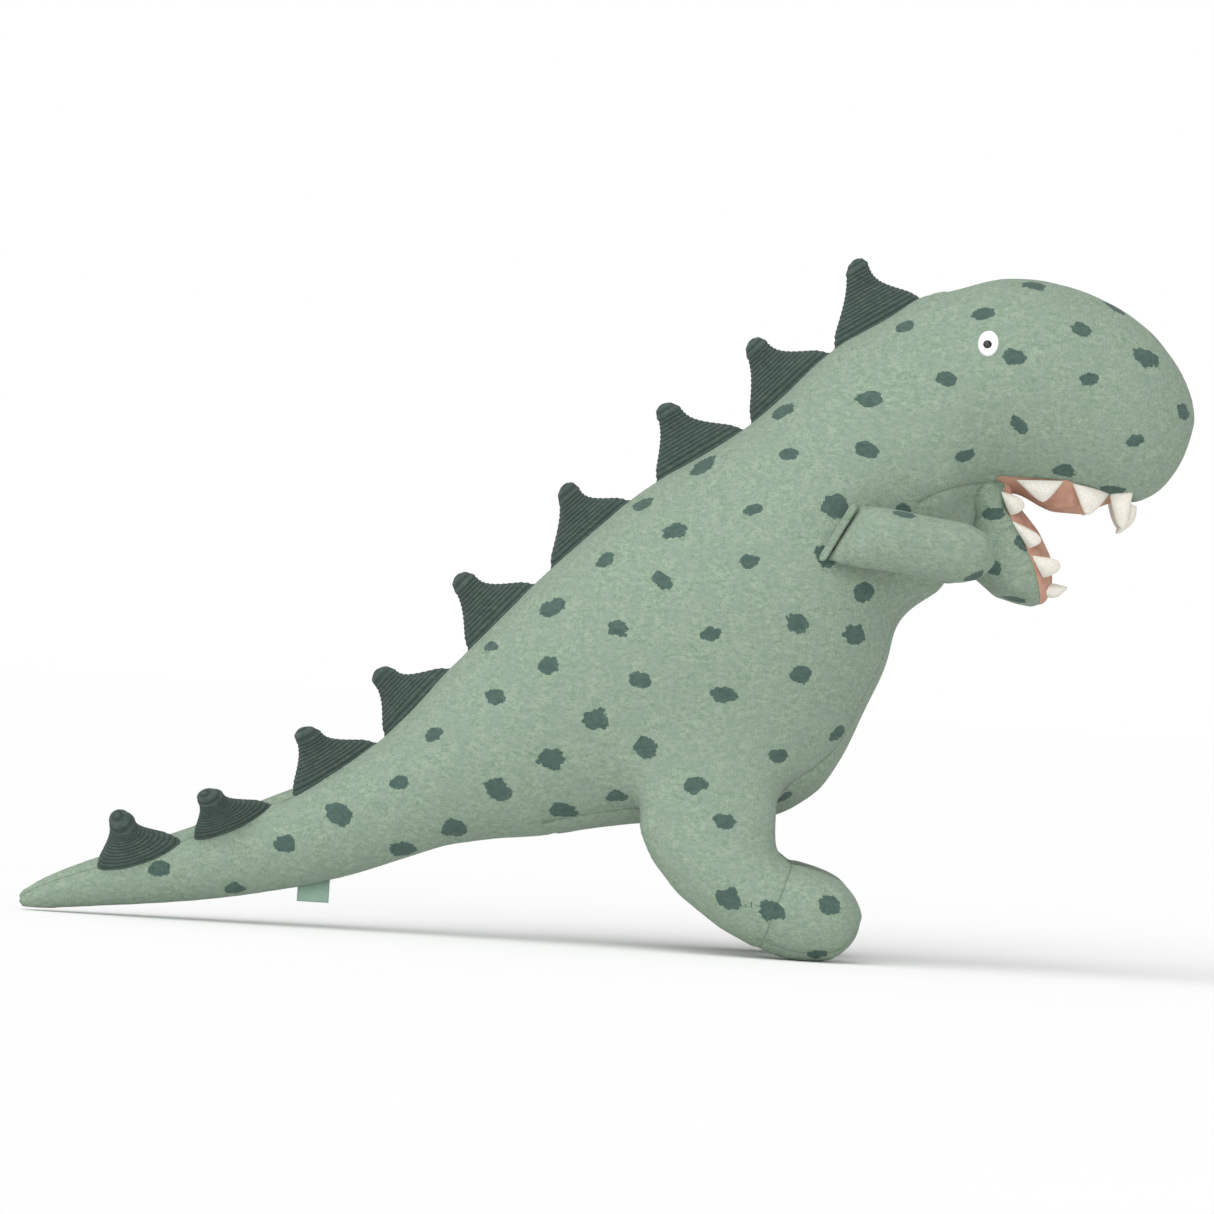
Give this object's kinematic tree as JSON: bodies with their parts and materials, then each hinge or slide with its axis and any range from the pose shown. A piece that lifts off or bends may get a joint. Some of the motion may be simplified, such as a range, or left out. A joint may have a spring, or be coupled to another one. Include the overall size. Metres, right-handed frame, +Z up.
{
  "type": "stuffed dinosaur",
  "caption": "Large knitted stuffed dinosaur with spotted cover panels, back spikes, open toothed mouth, short arms, stuffed legs and a long tail.",
  "frame": {"origin": "on the floor under the middle of the toy's length, on its middle plane", "axes": "+X to the snout, +Y to the toy's left, +Z up"},
  "size_m": [0.6874, 0.188, 0.4184],
  "materials": {
    "knit": "matte",
    "spike_knit": "matte",
    "mouth_lining": "matte",
    "felt": "matte",
    "stuffing": "matte",
    "ribbon": "satin",
    "eye_white": "matte",
    "eye_black": "gloss"
  },
  "bodies": {
    "torso": {"right_side_panel": "knit", "left_side_panel": "knit", "belly_gusset": "knit", "torso_stuffing": "stuffing", "right_arm_seam": "knit", "left_arm_seam": "knit", "spike_5": "spike_knit", "spike_6": "spike_knit", "spike_7": "spike_knit", "spike_8": "spike_knit", "spike_9": "spike_knit"},
    "head": {"head_right_panel": "knit", "head_left_panel": "knit", "throat_gusset": "knit", "palate_lining": "mouth_lining", "head_stuffing": "stuffing", "upper_teeth_right": "felt", "upper_teeth_left": "felt", "upper_teeth_front": "felt", "right_eye": "eye_white", "left_eye": "eye_white", "right_pupil": "eye_black", "left_pupil": "eye_black"},
    "jaw": {"jaw_cover": "knit", "jaw_lining": "mouth_lining", "jaw_stuffing": "stuffing", "lower_teeth_right": "felt", "lower_teeth_left": "felt", "lower_teeth_front": "felt"},
    "right_arm": {"right_arm_cover": "knit", "right_arm_stuffing": "stuffing"},
    "left_arm": {"left_arm_cover": "knit", "left_arm_stuffing": "stuffing"},
    "right_leg": {"right_leg_outer": "knit", "right_leg_inner": "knit", "right_toe_cap": "knit", "right_sole": "knit", "right_leg_stuffing": "stuffing"},
    "left_leg": {"left_leg_outer": "knit", "left_leg_inner": "knit", "left_toe_cap": "knit", "left_sole": "knit", "left_leg_stuffing": "stuffing"},
    "tail": {"tail_right_panel": "knit", "tail_left_panel": "knit", "tail_stuffing": "stuffing", "label_loop": "ribbon", "spike_3": "spike_knit", "spike_4": "spike_knit"},
    "tail_tip": {"tip_right_panel": "knit", "tip_left_panel": "knit", "tip_stuffing": "stuffing", "spike_1": "spike_knit", "spike_2": "spike_knit"}
  },
  "joints": [
    {"name": "neck_nod", "type": "hinge", "parent": "torso", "child": "head", "pos_m": [0.188, 0, 0.314], "axis": [0, 1, 0], "range_deg": [-8, 8], "stiffness_Nm_per_rad": 3},
    {"name": "jaw_open", "type": "hinge", "parent": "head", "child": "jaw", "pos_m": [0.223, 0, 0.288], "axis": [0, 1, 0], "range_deg": [-18, 5], "stiffness_Nm_per_rad": 0.4},
    {"name": "right_arm_swing", "type": "hinge", "parent": "torso", "child": "right_arm", "pos_m": [0.135, -0.0698, 0.255], "axis": [-0.2079, 0, -0.9781], "range_deg": [0, 35], "stiffness_Nm_per_rad": 0.25},
    {"name": "left_arm_swing", "type": "hinge", "parent": "torso", "child": "left_arm", "pos_m": [0.135, 0.0698, 0.255], "axis": [0.2079, 0, 0.9781], "range_deg": [0, 35], "stiffness_Nm_per_rad": 0.25},
    {"name": "right_hip", "type": "hinge", "parent": "torso", "child": "right_leg", "pos_m": [0.064, -0.05, 0.112], "axis": [0, 1, 0], "range_deg": [-12, 12], "stiffness_Nm_per_rad": 6},
    {"name": "left_hip", "type": "hinge", "parent": "torso", "child": "left_leg", "pos_m": [0.064, 0.05, 0.112], "axis": [0, 1, 0], "range_deg": [-12, 12], "stiffness_Nm_per_rad": 6},
    {"name": "tail_bend", "type": "hinge", "parent": "torso", "child": "tail", "pos_m": [-0.059, 0, 0.114], "axis": [-0.5299, 0, 0.848], "range_deg": [-15, 15], "stiffness_Nm_per_rad": 2},
    {"name": "tip_bend", "type": "hinge", "parent": "tail", "child": "tail_tip", "pos_m": [-0.186, 0, 0.051], "axis": [-0.0698, 0, 0.9976], "range_deg": [-20, 20], "stiffness_Nm_per_rad": 1}
  ]
}
